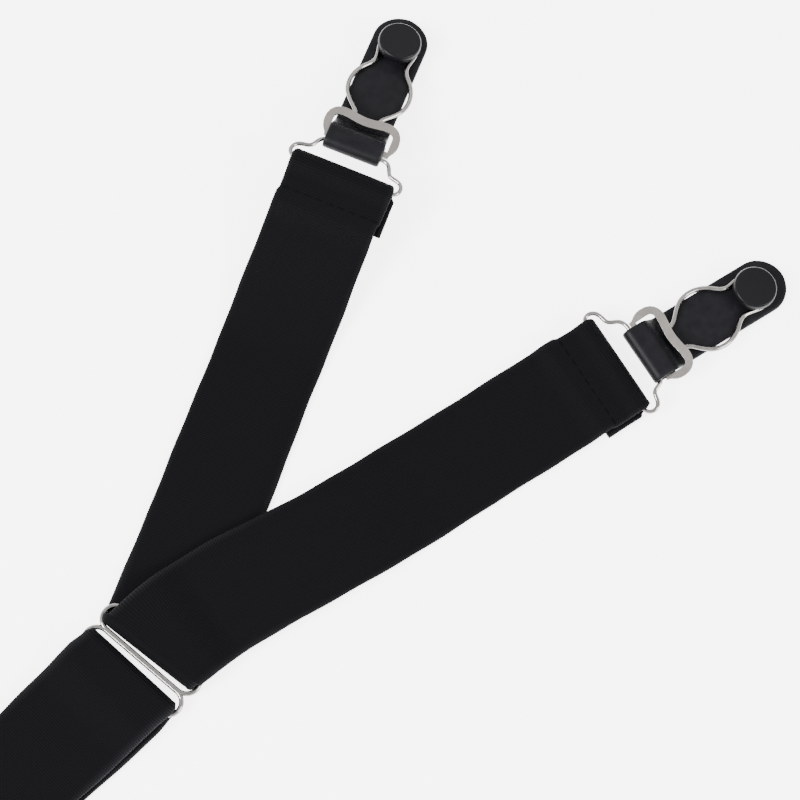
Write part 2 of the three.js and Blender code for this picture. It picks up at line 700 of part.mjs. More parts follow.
// The catch plate: a stamped frame with ears. Its foot bar lies inside the folded tab and its
// wavy top bar crosses over the tab and the foot of the catch loop.
function makePlate(side, aside) {
  const inner = TAB_WIDTH / 2 + GAP + PLATE_PLAY;
  const ear = PLATE_WIDTH / 2;
  const waist = (inner + ear) / 2 - PLATE_PLAY;
  const foot = -PLATE_FOOT_BAR / 2;
  const sill = PLATE_FOOT_BAR / 2;
  const lintel = sill + PLATE_OPENING;
  const crown = lintel + PLATE_TOP_BAR;
  const crest = crown + PLATE_WAVE;
  const arch = lintel + PLATE_WAVE;
  const crestPlace = inner * CREST_PLACE;
  const crestReach = inner * CREST_REACH;
  const dipReach = inner * DIP_REACH;
  const shoulder = lintel * OPENING_SHOULDER;
  const half = (sideways) => [
    [sideways * waist, foot],
    [sideways * waist, sill, sideways * ear, sill, sideways * ear, lintel * EAR_SHOULDER],
    [sideways * ear, crown * EAR_TOP, sideways * inner, crest, sideways * crestPlace, crest],
    [sideways * crestReach, crest, sideways * dipReach, crown, 0, crown],
  ];
  const mirror = (rows) => rows.map((row) => row.map((value, i) => (i % 2 ? value : -value)));
  const outline = new THREE.Shape();
  const [start, ...right] = half(1);
  outline.moveTo(...start);
  right.forEach((row) => outline.bezierCurveTo(...row));
  const path = mirror(half(1)).flat();
  for (let at = path.length - 6; at > 0; at -= 6) {
    const back = path.slice(at - 2, at + 4);
    outline.bezierCurveTo(back[4], back[5], back[2], back[3], back[0], back[1]);
  }
  outline.closePath();
  const opening = new THREE.Path();
  opening.moveTo(-inner, sill);
  opening.lineTo(-inner, shoulder);
  opening.bezierCurveTo(-inner, arch, -inner * EAR_TOP, arch, -crestPlace, arch);
  opening.bezierCurveTo(-crestReach, arch, -dipReach, lintel, 0, lintel);
  opening.bezierCurveTo(dipReach, lintel, crestReach, arch, crestPlace, arch);
  opening.bezierCurveTo(inner * EAR_TOP, arch, inner, arch, inner, shoulder);
  opening.lineTo(inner, sill);
  opening.closePath();
  outline.holes.push(opening);
  const sheet = new THREE.ExtrudeGeometry(outline, {
    depth: PLATE_THICKNESS,
    bevelEnabled: false,
    curveSegments: CURVE_STEPS,
  });
  sheet.translate(0, 0, -PLATE_THICKNESS / 2);
  const plate = named(`${side}_catch_plate`, geometryOf(solidOf(sheet)), satinPlate);
  plate.position.set(aside, plateFoot, plateFootHeight);
  plate.rotation.x = plateSlope;
  return plate;
}

// The angle at which a piece held at a height, and reaching out, touches the floor with its tip
function tipDown(heldHeight, heldAbove, reach) {
  return Math.asin(heldHeight / Math.hypot(heldAbove, reach)) - Math.atan2(heldAbove, reach);
}

// Hanger and clip at one leg's end. The hanger's bar is in the leg's fold, its top bar is in
// the tab's fold, and the tab's round end touches the floor.
function makeEnd(side, leg) {
  const fold = hangerFold(leg);
  const headed = leg.course.headingAt(leg.course.length);
  const hanger = makeHanger(side);
  hanger.position.copy(fold.centre);
  hanger.rotation.set(leg.hangerSlope, 0, -headed, 'ZXY');
  const held = new THREE.Vector3(HANGER_LEAN + leg.clipSide, HANGER_REACH, 0)
    .applyEuler(hanger.rotation)
    .add(fold.centre);
  const clip = new THREE.Group();
  clip.rotation.set(-tipDown(held.z, tabBarHeight, TAB_REACH), 0, -leg.clipHeading, 'ZXY');
  clip.position.copy(held).sub(new THREE.Vector3(0, 0, tabBarHeight).applyEuler(clip.rotation));
  clip.add(makeTab(side), makeButton(side), makeLoop(side), makePlate(side, leg.plateSide));
  const end = new THREE.Group();
  end.add(hanger, clip);
  return end;
}

// The sock clasp: a bar in the band's fold, a window for the fold, a bridge and a round tongue
function makeClasp(course) {
  const windowDepth = claspFoldBack + GAP;
  const inside = BAND_WIDTH / 2 + 2 * GAP;
  const outside = inside + CLASP_RIM;
  const bridge = windowDepth + CLASP_BRIDGE;
  const tongue = CLASP_TONGUE_WIDTH / 2;
  const end = bridge + CLASP_TONGUE_LENGTH;
  const outline = new THREE.Shape();
  outline.moveTo(-outside, -CLASP_BAR);
  outline.lineTo(outside, -CLASP_BAR);
  outline.lineTo(outside, windowDepth);
  outline.quadraticCurveTo(outside, bridge, outside - CLASP_FILLET, bridge);
  outline.quadraticCurveTo(tongue, bridge, tongue, bridge + CLASP_FILLET);
  outline.lineTo(tongue, end - tongue);
  outline.absarc(0, end - tongue, tongue, 0, Math.PI, false);
  outline.lineTo(-tongue, bridge + CLASP_FILLET);
  outline.quadraticCurveTo(-tongue, bridge, CLASP_FILLET - outside, bridge);
  outline.quadraticCurveTo(-outside, bridge, -outside, windowDepth);
  outline.closePath();
  const window = new THREE.Path();
  window.moveTo(-inside, 0);
  window.lineTo(-inside, windowDepth);
  window.lineTo(inside, windowDepth);
  window.lineTo(inside, 0);
  window.closePath();
  outline.holes.push(window);
  const sheet = new THREE.ExtrudeGeometry(outline, {
    depth: CLASP_THICKNESS,
    bevelEnabled: false,
    curveSegments: CURVE_STEPS,
  });
  sheet.translate(0, 0, -CLASP_THICKNESS / 2);
  const clasp = named('sock_clasp', geometryOf(solidOf(sheet)), satinPlate);
  const place = course.placeAt(course.length - claspFoldBack);
  clasp.position.set(place.x, place.y, claspBarHeight);
  const droop = tipDown(claspBarHeight, CLASP_THICKNESS / 2, end);
  clasp.rotation.set(-droop, 0, -course.headingAt(course.length), 'ZXY');
  return clasp;
}

function makeLeg(rows, length, lift, hangerSlope, clipHeading, clipSide, plateSide) {
  const course = makeCourse(rows, length, forkFold);
  course.foldHeading = radians(-forkFold.skew);
  return {
    course,
    lift: (at) => lift * smooth(at, length - LIFT_RUN, length - hangerFoldBack - BAR_MARGIN),
    hangerSlope: radians(hangerSlope),
    clipHeading: radians(clipHeading),
    clipSide,
    plateSide,
  };
}

const leftLeg = makeLeg(
  leftCourse,
  LEFT_LEG_LENGTH,
  LEFT_LIFT,
  LEFT_HANGER_SLOPE,
  LEFT_CLIP_HEADING,
  LEFT_CLIP_SIDE,
  LEFT_PLATE_SIDE,
);
const rightLeg = makeLeg(
  rightCourse,
  RIGHT_LEG_LENGTH,
  RIGHT_LIFT,
  RIGHT_HANGER_SLOPE,
  RIGHT_CLIP_HEADING,
  RIGHT_CLIP_SIDE,
  RIGHT_PLATE_SIDE,
);
const lowerRun = makeCourse(lowerCourse, LOWER_BAND_LENGTH, lowerFold);
lowerRun.foldHeading = radians(180 - lowerFold.skew);

const layout = new THREE.Group();
layout.add(
  makeFork(leftLeg, rightLeg),
  makeBuckle(),
  makeLowerBand(lowerRun),
  makeClasp(lowerRun),
  makeEnd('left', leftLeg),
  makeEnd('right', rightLeg),
);

// The origin is under the middle of the whole, on the surface that it lies on
const bounds = new THREE.Box3().setFromObject(layout, true);
const middle = bounds.getCenter(new THREE.Vector3());
layout.position.set(-middle.x, -middle.y, -bounds.min.z);

const shirtStay = new THREE.Group();
shirtStay.add(layout);

export default shirtStay;
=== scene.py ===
# A black elastic shirt stay lying on a pale floor. The bands, the leather tabs, the buttons and the
# buckle are modelled here over the plain CAD solids, and the other metal pieces are the CAD ones,
# refined.
import math

import bmesh
import bpy
from mathutils import Euler, Matrix, Vector


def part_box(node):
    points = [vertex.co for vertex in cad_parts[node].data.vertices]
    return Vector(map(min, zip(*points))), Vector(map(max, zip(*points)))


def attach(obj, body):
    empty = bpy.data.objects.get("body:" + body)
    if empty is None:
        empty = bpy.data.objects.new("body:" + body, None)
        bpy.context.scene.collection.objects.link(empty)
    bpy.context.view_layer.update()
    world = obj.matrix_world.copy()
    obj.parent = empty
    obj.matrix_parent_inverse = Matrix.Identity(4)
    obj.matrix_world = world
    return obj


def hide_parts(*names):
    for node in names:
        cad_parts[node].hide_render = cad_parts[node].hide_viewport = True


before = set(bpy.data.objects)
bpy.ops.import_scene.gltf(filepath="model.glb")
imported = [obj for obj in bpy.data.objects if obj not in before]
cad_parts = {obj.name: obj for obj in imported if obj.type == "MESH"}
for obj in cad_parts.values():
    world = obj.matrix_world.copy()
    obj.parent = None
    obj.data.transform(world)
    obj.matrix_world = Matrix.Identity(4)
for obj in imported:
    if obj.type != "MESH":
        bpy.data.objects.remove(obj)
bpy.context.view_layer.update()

# The script's sizes are in millimetres, as in the CAD part, and Blender's are in metres
MM = 0.001
GAP = 0.3

# Steps and angles of the modelling
SLOPE_PROBE = 0.05
FOLD_STEP = 10
SHARP_ANGLE = math.radians(50)
FACET_ANGLE = math.radians(40)
FLAT_ANGLE = math.radians(2)

# Elastic bands
BAND_WIDTH = 24.5
BAND_THICKNESS = 1.3
LEFT_LEG_LENGTH = 118.1
RIGHT_LEG_LENGTH = 125.4
LOWER_BAND_LENGTH = 113
FLAP_LENGTH = 12
FLAP_SHIFT = 1.25
END_SHIFT = 0.4

# The bands at their folds: drawn in round each bar, and slack at the buckle, where they lie wider,
# a little aside and a little askew
FORK_SPREAD = 25.7
FORK_SQUEEZED = 24.2
FORK_NUDGE = (0.13, -0.43)
LOWER_SPREAD = 26.4
LOWER_SQUEEZED = 24.6
LOWER_NUDGE = (-0.2, 0.2)
HANGER_SQUEEZED = 23.4
FORK_SKEW = 2.4
LOWER_SKEW = -1.8
FORK_FOLD_SIDE = 0.35
FORK_FOLD_GAP = 0.7
LOWER_FOLD_SIDE = 0.1
LOWER_FOLD_GAP = 1
SPREAD_RUN = 45
NUDGE_RUN = 14

# How the layers rise over what lies under them
LAYER_OFFSET = 0.9
SETTLING_LENGTH = 7
CROSSING_LENGTH = 48
LIFT_RUN = 46
CROSSING_RAMP = 26
BUCKLE_RAMP = 9
HANGER_RAMP = 3.4
CLASP_RAMP = 8.6
FLAP_RAMP = 5
SIDE_RAMP = 1.2
BAR_MARGIN = 1

# Weave of the bands
RIB_PITCH = 0.54
EDGE_TOOTH = 0.05
STITCH_PLACE = 9.6
STITCH_LENGTH = 2.1
STITCH_SPACING = 2.9
STITCH_MARGIN = 1.6
STITCH_SINK = 0.02
THREAD = 0.32
YARN_PITCH = 0.46
YARN_DEPTH = 0.45
FUZZ_DEPTH = 2.4
RIB_WANDER = 0.22
# Painted highlight along the elastic's edges, where they turn towards the light: how far from the
# middle it starts, in mm, and how fast it grows
EDGE_SHEEN_PLACE = 10.9
EDGE_SHEEN_SLOPE = 0.26
EDGE_DRIFTS = ((0.07, 6.1, 0), (0.05, 2.3, 1))

# Metal pieces that the bands pass round
BUCKLE_WIRE = 1.1
BUCKLE_WINDOW = 5.9
BUCKLE_SIDE_ROOM = 0.4
BUCKLE_SHIFT = 0.5
BAR_SPREAD = 0.12
GROOVE_SPREAD = 0.15
WIRE_TURN_STEP = 7.5
WIRE_SIDES = 20
HANGER_WIRE = 1.0
HANGER_REACH = 7.5
HANGER_LEAN = 0.5
WIRE_GROWTH = 0.05
CLASP_THICKNESS = 1.5
CLASP_BAR = 3

# Clips
TAB_WIDTH = 13
TAB_THICKNESS = 1.2
TAB_REACH = 38.9
TAB_FLAP = 4
TAB_SPREAD = 0.6
TAB_TIP_TURNS = (88, 4)
TAB_SPACING = 1.5
TAB_BEND_SPACING = 0.3
TAB_FLAP_SPACING = 1
BUTTON_PLACE = 30.1
BUTTON_SIDE = 0.25
BUTTON_RADIUS = 5.05
BUTTON_HEIGHT = 2.2
POST_RADIUS = 3.5
BUTTON_STEPS = 64
LOOP_WIRE = 1.1
PLATE_TOP_BAR = 2
PLATE_FOOT_BAR = 1.4
PLATE_OPENING = 3.9
PLATE_EASE = 0.3

# The floor's own light, which keeps it near white under soft shadows
FLOOR_GLOW = 4.2

# Courses in plan: heading from +Y towards +X, in degrees, at shares of the length
LEFT_COURSE = ((0, -13), (0.06, -18.5), (0.12, -20.7), (0.5, -20), (1, -18.5))
RIGHT_COURSE = (
    (0, 7),
    (0.06, 9.5),
    (0.12, 13.5),
    (0.2, 19.6),
    (0.29, 21.4),
    (0.4, 18.8),
    (0.5, 16.5),
    (1, 17.1),
)
LOWER_COURSE = ((0, 184.5), (0.12, 185.3), (0.3, 184.1), (1, 183.8))

# How each leg ends: lift, slope of the hanger, heading and sideways place of the clip
LEFT_END = {"lift": 8.6, "slope": -10, "heading": -19, "aside": -0.85}
RIGHT_END = {"lift": 1, "slope": 8, "heading": 17, "aside": 1.2}

# Heights of layers and bars, worked out as in the CAD part
MIDDLE = BAND_THICKNESS / 2
UPPER = BAND_THICKNESS * 1.5 + GAP
BUCKLE_BAR = BAND_THICKNESS + GAP + BUCKLE_WIRE / 2
OVER_BUCKLE = 2 * BUCKLE_BAR - MIDDLE
HANGER_BAR = BAND_THICKNESS + GAP + HANGER_WIRE / 2
OVER_HANGER = 2 * HANGER_BAR - MIDDLE
CLASP_MIDDLE = BAND_THICKNESS + GAP + CLASP_THICKNESS / 2
OVER_CLASP = 2 * CLASP_MIDDLE - MIDDLE
BUCKLE_BACK = OVER_BUCKLE - BUCKLE_BAR + MIDDLE
HANGER_BACK = OVER_HANGER - HANGER_BAR + MIDDLE
CLASP_BACK = OVER_CLASP - CLASP_MIDDLE + MIDDLE
BAR_EDGE = BUCKLE_WIRE / 2 + BAR_SPREAD + GAP
FORK_START = Vector((BUCKLE_SHIFT + FORK_FOLD_SIDE, BAR_EDGE + FORK_FOLD_GAP))
LOWER_START = Vector((BUCKLE_SHIFT + LOWER_FOLD_SIDE, -BAR_EDGE - LOWER_FOLD_GAP))
TAB_LOW = TAB_THICKNESS / 2
TAB_BAR = TAB_THICKNESS + GAP + HANGER_WIRE / 2
TAB_HIGH = 2 * TAB_BAR - TAB_LOW
LOOP_HEIGHT = TAB_THICKNESS + GAP + LOOP_WIRE / 2
HEAD_HEIGHT = LOOP_HEIGHT + LOOP_WIRE / 2 + GAP
PLATE_FOOT = HANGER_WIRE / 2 + GAP + PLATE_FOOT_BAR / 2
PLATE_RUN = PLATE_FOOT_BAR / 2 + PLATE_OPENING + PLATE_TOP_BAR / 2

# The buckle's middle is the layout's own origin, and its box says where that is
_buckle_low, _buckle_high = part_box("junction_buckle")
ORIGIN = Vector((
    (_buckle_low[0] + _buckle_high[0]) / 2 / MM - BUCKLE_SHIFT,
    (_buckle_low[1] + _buckle_high[1]) / 2 / MM,
    0,
))


def smooth(value, start, end):
    share = min(1, max(0, (value - start) / (end - start)))
    return share * share * (3 - 2 * share)


def spaced(start, end, step):
    count = max(1, math.ceil(abs(end - start) / step))
    return [start + (end - start) * i / count for i in range(count + 1)]


def level_frame(heading):
    ahead = Vector((math.sin(heading), math.cos(heading), 0))
    across = Vector((math.cos(heading), -math.sin(heading), 0))
    return ahead, across


class Course:
    """The way a band takes in plan: its heading and its place at any distance."""

    CELLS = 240

    def __init__(self, rows, length, start, fold_heading, nudge):
        self.nudge = Vector(nudge)
        self.rows = rows
        self.length = length
        self.fold_heading = math.radians(fold_heading)
        self.places = [start.copy()]
        cell = length / self.CELLS
        for i in range(self.CELLS):
            ahead, _ = level_frame(self.heading((i + 0.5) * cell))
            self.places.append(self.places[i] + ahead.to_2d() * cell)

    def heading(self, distance):
        share = min(1, max(0, distance / self.length))
        for (low, first), (high, second) in zip(self.rows, self.rows[1:]):
            if share <= high:
                return math.radians(first + (second - first) * (share - low) / (high - low))
        return math.radians(self.rows[-1][1])

    def place(self, distance):
        step = min(self.CELLS, max(0, distance * self.CELLS / self.length))
        cell = min(self.CELLS - 1, int(step))
        near = 1 - smooth(distance, 0, NUDGE_RUN)
        return self.places[cell].lerp(self.places[cell + 1], step - cell) + self.nudge * near


def band_station(course, layer, distance):
    """Centre, across, normal and width of a band at a distance along its course."""
    heading = course.heading(distance)
    settled = smooth(distance, BUCKLE_BACK, BUCKLE_BACK + SETTLING_LENGTH)
    blended = course.fold_heading + (heading - course.fold_heading) * settled
    _, across = level_frame(blended)
    ahead, _ = level_frame(heading)
    before = layer["height"](distance - SLOPE_PROBE)
    rise = (layer["height"](distance + SLOPE_PROBE) - before) / (2 * SLOPE_PROBE)
    normal = (Vector((0, 0, 1)) - ahead * rise).normalized() * layer["side"]
    centre = course.place(distance).to_3d()
    centre.z = layer["height"](distance)
    centre += across * layer["shift"](distance)
    return centre, across, normal, layer["width"](distance)


def fold_stations(fold, rising, side):
    stations = []
    for turn in spaced(-90, 90, FOLD_STEP)[1:-1]:
        outward = fold["ahead"] * math.cos(math.radians(turn))
        outward.z = math.sin(math.radians(turn * rising))
        centre = fold["centre"] + outward * fold["radius"]
        level = math.cos(math.radians(turn)) ** 2
        width = fold["width"] + (fold["squeezed"] - fold["width"]) * level
        stations.append((centre, fold["across"], outward * side, width))
    return stations


def spread_width(spread):
    """Widths along a band, which is slack at the buckle and so a little wider there."""
    def width(distance):
        return spread + (BAND_WIDTH - spread) * smooth(distance, BUCKLE_BACK, SPREAD_RUN)

    return width


def over_outer_bar(distance):
    level = BUCKLE_WINDOW + BUCKLE_WIRE / 2 + 2 * BAR_MARGIN
    return smooth(distance, level + BUCKLE_RAMP, level)


class Leg:
    """One leg of the fork, with what its end holds."""

    def __init__(self, rows, length, end):
        self.course = Course(rows, length, FORK_START, -FORK_SKEW, FORK_NUDGE)
        self.end = end
        self.length = length
        self.fold_at = length - HANGER_BACK

    def lift(self, distance):
        level_from = self.fold_at - BAR_MARGIN
        return self.end["lift"] * smooth(distance, self.length - LIFT_RUN, level_from)

    def layer(self, base, side):
        edge = HANGER_BACK + BAR_MARGIN

        def height(at):
            left = self.length - at
            over_flap = smooth(left, FLAP_LENGTH + FLAP_RAMP, FLAP_LENGTH + GAP)
            over_bar = smooth(left, edge + HANGER_RAMP, edge)
            return (self.lift(at) + base(at) + (UPPER - MIDDLE) * over_flap
                    + (OVER_HANGER - UPPER) * over_bar)

        def shift(at):
            left = self.length - at
            return END_SHIFT * smooth(left, FLAP_LENGTH - SIDE_RAMP, FLAP_LENGTH - 2 * SIDE_RAMP)

        return {"side": side, "height": height, "shift": shift, "width": spread_width(FORK_SPREAD)}

    def flap(self, side):
        def shift(at):
            return END_SHIFT + (FLAP_SHIFT - END_SHIFT) * smooth(self.fold_at - at, 0, SIDE_RAMP)

        return {
            "side": side,
            "height": lambda at: self.lift(at) + MIDDLE,
            "shift": shift,
            "width": lambda at: BAND_WIDTH,
        }

    def fold(self):
        ahead, across = level_frame(self.course.heading(self.length))
        centre = self.course.place(self.fold_at).to_3d() + across * END_SHIFT
        centre.z = self.lift(self.fold_at) + HANGER_BAR
        return {
            "ahead": ahead,
            "across": across,
            "centre": centre,
            "radius": OVER_HANGER - HANGER_BAR,
            "width": BAND_WIDTH,
            "squeezed": HANGER_SQUEEZED,
        }


left_leg = Leg(LEFT_COURSE, LEFT_LEG_LENGTH, LEFT_END)
right_leg = Leg(RIGHT_COURSE, RIGHT_LEG_LENGTH, RIGHT_END)


def crossing_height(at):
    over_leg = smooth(at, CROSSING_LENGTH + CROSSING_RAMP, CROSSING_LENGTH)
    return MIDDLE + (UPPER - MIDDLE) * over_leg + (OVER_BUCKLE - UPPER) * over_outer_bar(at)


def buckle_fold(course, spread, squeezed):
    ahead, across = level_frame(course.fold_heading)
    centre = course.place(BUCKLE_BACK).to_3d()
    centre.z = BUCKLE_BAR
    return {
        "ahead": -ahead,
        "across": across,
        "centre": centre,
        "radius": OVER_BUCKLE - BUCKLE_BAR,
        "width": spread,
        "squeezed": squeezed,
    }


LEFT_LAYER = left_leg.layer(lambda at: MIDDLE, 1)
RIGHT_LAYER = right_leg.layer(crossing_height, -1)


def fork_stations():
    step = RIB_PITCH / 2
    stations = []
    flap_from = left_leg.length - FLAP_LENGTH
    for at in spaced(flap_from, left_leg.fold_at, step):
        stations.append(band_station(left_leg.course, left_leg.flap(-1), at))
    stations += fold_stations(left_leg.fold(), 1, 1)
    for at in spaced(left_leg.fold_at, BUCKLE_BACK, step):
        stations.append(band_station(left_leg.course, LEFT_LAYER, at))
    buckle_end = buckle_fold(left_leg.course, FORK_SPREAD, FORK_SQUEEZED)
    stations += fold_stations(buckle_end, 1, -1)
    for at in spaced(BUCKLE_BACK, right_leg.fold_at, step):
        stations.append(band_station(right_leg.course, RIGHT_LAYER, at))
    stations += fold_stations(right_leg.fold(), -1, -1)
    for at in spaced(right_leg.fold_at, right_leg.length - FLAP_LENGTH, step):
        stations.append(band_station(right_leg.course, right_leg.flap(1), at))
    return stations


def lower_stations():
    course = Course(LOWER_COURSE, LOWER_BAND_LENGTH, LOWER_START, 180 - LOWER_SKEW, LOWER_NUDGE)
    width = spread_width(LOWER_SPREAD)
    end = course.length
    clasp_edge = CLASP_BACK + CLASP_BAR + BAR_MARGIN

    def apart(at):
        return (LAYER_OFFSET / 2 * smooth(at, BUCKLE_BACK, SETTLING_LENGTH)
                * smooth(end - at, CLASP_BACK, SETTLING_LENGTH))

    def over_height(at):
        return (UPPER + (OVER_BUCKLE - UPPER) * over_outer_bar(at)
                + (OVER_CLASP - UPPER) * smooth(end - at, clasp_edge + CLASP_RAMP, clasp_edge))

    under = {
        "side": -1,
        "height": lambda at: MIDDLE,
        "shift": lambda at: -apart(at),
        "width": width,
    }
    over = {"side": 1, "height": over_height, "shift": apart, "width": width}
    ahead, across = level_frame(course.heading(end))
    centre = course.place(end - CLASP_BACK).to_3d()
    centre.z = CLASP_MIDDLE
    clasp_fold = {
        "ahead": ahead,
        "across": across,
        "centre": centre,
        "radius": OVER_CLASP - CLASP_MIDDLE,
        "width": BAND_WIDTH,
        "squeezed": BAND_WIDTH,
    }
    spots = spaced(BUCKLE_BACK, end - CLASP_BACK, RIB_PITCH / 2)
    stations = [band_station(course, under, at) for at in spots]
    stations += fold_stations(clasp_fold, 1, 1)
    stations += [band_station(course, over, at) for at in reversed(spots)]
    stations += fold_stations(buckle_fold(course, LOWER_SPREAD, LOWER_SQUEEZED), -1, 1)
    return stations


# Half section of a strip: inset from the edge in mm, and height as a share of half the thickness.
# Teeth and wear reach the outermost part alone.
BAND_EDGE = ((0, 0), (0.08, 0.55), (0.25, 0.88), (0.6, 1.0), (1.0, 0.97), (1.35, 0.86), (1.7, 0.96))
TAB_EDGE = ((0, 0), (0.05, 0.5), (0.2, 0.82), (0.5, 0.96), (1.0, 1.0))
TOOTH_INSET = 0.5
MOST_INSET = 0.9
INNER_SHARES = (0.66, 0.33, 0)


def section(width, thickness, edge, tooth):
    """Points round a strip's section, as (sideways, upwards)."""
    half = width / 2
    rows = []
    for inset, height in edge:
        reach = half - min(inset, half * MOST_INSET) + (tooth if inset < TOOTH_INSET else 0)
        rows.append((reach, height * thickness / 2))
    inner = [share * rows[-1][0] for share in INNER_SHARES]
    level = thickness / 2
    top = rows[1:] + [(reach, level) for reach in inner]
    top += [(-reach, level) for reach in inner[-2::-1]] + [(-a, b) for a, b in rows[:0:-1]]
    bottom = [(a, -b) for a, b in reversed(top)]
    return [rows[0]] + top + [(-rows[0][0], 0)] + bottom


def strip_mesh(name, stations, thickness, edge, closed, tooth=0.0):
    """A strip lofted through stations, with a UV map in mm: across it and along it."""
    mesh = bmesh.new()
    uv = mesh.loops.layers.uv.new("weave")
    rings = []
    along = 0
    previous = None
    for i, (centre, across, normal, width) in enumerate(stations):
        if previous is not None:
            along += (centre - previous).length
        previous = centre
        drift = sum(reach * math.sin(along / run + turn) for reach, run, turn in EDGE_DRIFTS)
        worn = (tooth if i % 2 else -tooth) + drift * (tooth > 0)
        points = section(width, thickness, edge, worn)
        ring = []
        for sideways, upwards in points:
            place = (centre + across * sideways + normal * upwards + ORIGIN) * MM
            ring.append((mesh.verts.new(place), sideways, along))
        rings.append(ring)
    pairs = list(zip(rings, rings[1:]))
    if closed:
        pairs.append((rings[-1], rings[0]))
    for here, there in pairs:
        wraps = there[0][2] < here[0][2]
        for k in range(len(here)):
            corners = (here[k], here[k - 1], there[k - 1], there[k])
            face = mesh.faces.new([corner[0] for corner in corners])
            face.smooth = True
            for loop, (_, sideways, at) in zip(face.loops, corners):
                loop[uv].uv = (sideways, along + RIB_PITCH / 2 if wraps and at == 0 else at)
    if not closed:
        for ring in (rings[0], rings[-1]):
            mesh.faces.new([corner[0] for corner in ring])
    return finished_mesh(name, mesh)


def finished_mesh(name, mesh):
    bmesh.ops.recalc_face_normals(mesh, faces=mesh.faces)
    data = bpy.data.meshes.new(name)
    mesh.to_mesh(data)
    mesh.free()
    piece = bpy.data.objects.new(name, data)
    bpy.context.scene.collection.objects.link(piece)
    return piece


def placed(piece, slot, material, *nodes):
    piece.data.materials.clear()
    piece.data.materials.append(material)
    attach(piece, "root")
    if nodes:
        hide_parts(*nodes)
    return piece


# Materials
def new_material(name, colour, roughness, metallic=0.0, specular=0.5, tint=1.0):
    material = bpy.data.materials.new(name)
    material.use_nodes = True
    shader = material.node_tree.nodes["Principled BSDF"]
    shader.inputs["Base Color"].default_value = (*colour, 1)
    shader.inputs["Roughness"].default_value = roughness
    shader.inputs["Metallic"].default_value = metallic
    shader.inputs["Specular IOR Level"].default_value = specular
    shader.inputs["Specular Tint"].default_value = (tint, tint, tint, 1)
    return material, material.node_tree, shader


def math_node(tree, operation, first, second=None, clamp=False):
    node = tree.nodes.new("ShaderNodeMath")
    node.operation = operation
    node.use_clamp = clamp
    for socket, value in zip(node.inputs, (first, second)):
        if isinstance(value, (int, float)):
            socket.default_value = value
        elif value is not None:
            tree.links.new(value, socket)
    return node.outputs[0]


def noise_node(tree, vector, scale, detail=2.0):
    node = tree.nodes.new("ShaderNodeTexNoise")
    node.inputs["Scale"].default_value = scale
    node.inputs["Detail"].default_value = detail
    tree.links.new(vector, node.inputs["Vector"])
    return node.outputs["Fac"]


def ramp_node(tree, factor, rows):
    node = tree.nodes.new("ShaderNodeValToRGB")
    while len(node.color_ramp.elements) < len(rows):
        node.color_ramp.elements.new(0.5)
    for element, (place, colour) in zip(node.color_ramp.elements, rows):
        element.position = place
        element.color = (*colour, 1)
    tree.links.new(factor, node.inputs["Fac"])
    return node.outputs["Color"]


def bump_node(tree, shader, height, strength, distance):
    node = tree.nodes.new("ShaderNodeBump")
    node.inputs["Strength"].default_value = strength
    node.inputs["Distance"].default_value = distance
    tree.links.new(height, node.inputs["Height"])
    tree.links.new(node.outputs["Normal"], shader.inputs["Normal"])


def elastic_material():
    """Black elastic: crosswise ribs with fine lengthwise yarns between them, and a painted
    highlight that lightens its edges, where they turn towards the light.
    """
    material, tree, shader = new_material(
        "ribbed elastic", (0.003, 0.003, 0.0035), 0.8, specular=0.06,
    )
    uv = tree.nodes.new("ShaderNodeUVMap")
    uv.uv_map = "weave"
    split = tree.nodes.new("ShaderNodeSeparateXYZ")
    tree.links.new(uv.outputs["UV"], split.inputs[0])
    across = split.outputs[0]
    along = split.outputs[1]
    turn = 2 * math.pi
    wobble = math_node(tree, "MULTIPLY", noise_node(tree, uv.outputs["UV"], 0.9), RIB_WANDER)
    place = math_node(tree, "ADD", along, wobble)
    rib = math_node(tree, "SINE", math_node(tree, "MULTIPLY", place, turn / RIB_PITCH))
    phase = math_node(tree, "MULTIPLY", along, turn / (2 * RIB_PITCH))
    sideways = math_node(tree, "MULTIPLY", across, turn / YARN_PITCH)
    yarn = math_node(tree, "SINE", math_node(tree, "ADD", sideways, phase))
    weave = math_node(tree, "ADD", rib, math_node(tree, "MULTIPLY", yarn, YARN_DEPTH))
    fuzz = noise_node(tree, uv.outputs["UV"], 5.5, 3.0)
    height = math_node(tree, "ADD", weave, math_node(tree, "MULTIPLY", fuzz, FUZZ_DEPTH))
    # Painted highlight: the band's colour is made lighter towards its edges, where they turn
    # towards the light
    inset = math_node(tree, "SUBTRACT", math_node(tree, "ABSOLUTE", across), EDGE_SHEEN_PLACE)
    edge_sheen = math_node(tree, "MULTIPLY", inset, EDGE_SHEEN_SLOPE, clamp=True)
    grey = math_node(tree, "ADD", math_node(tree, "MULTIPLY", height, 0.11), 0.18)
    tone = math_node(tree, "ADD", grey, edge_sheen)
    colour = ramp_node(tree, tone, (
        (0.0, (0.0013, 0.0013, 0.0017)),
        (0.4, (0.0031, 0.0031, 0.0038)),
        (0.65, (0.0062, 0.0062, 0.0073)),
        (1.0, (0.02, 0.02, 0.023)),
    ))
    tree.links.new(colour, shader.inputs["Base Color"])
    bump_node(tree, shader, height, 0.55, 0.00006)
    return material


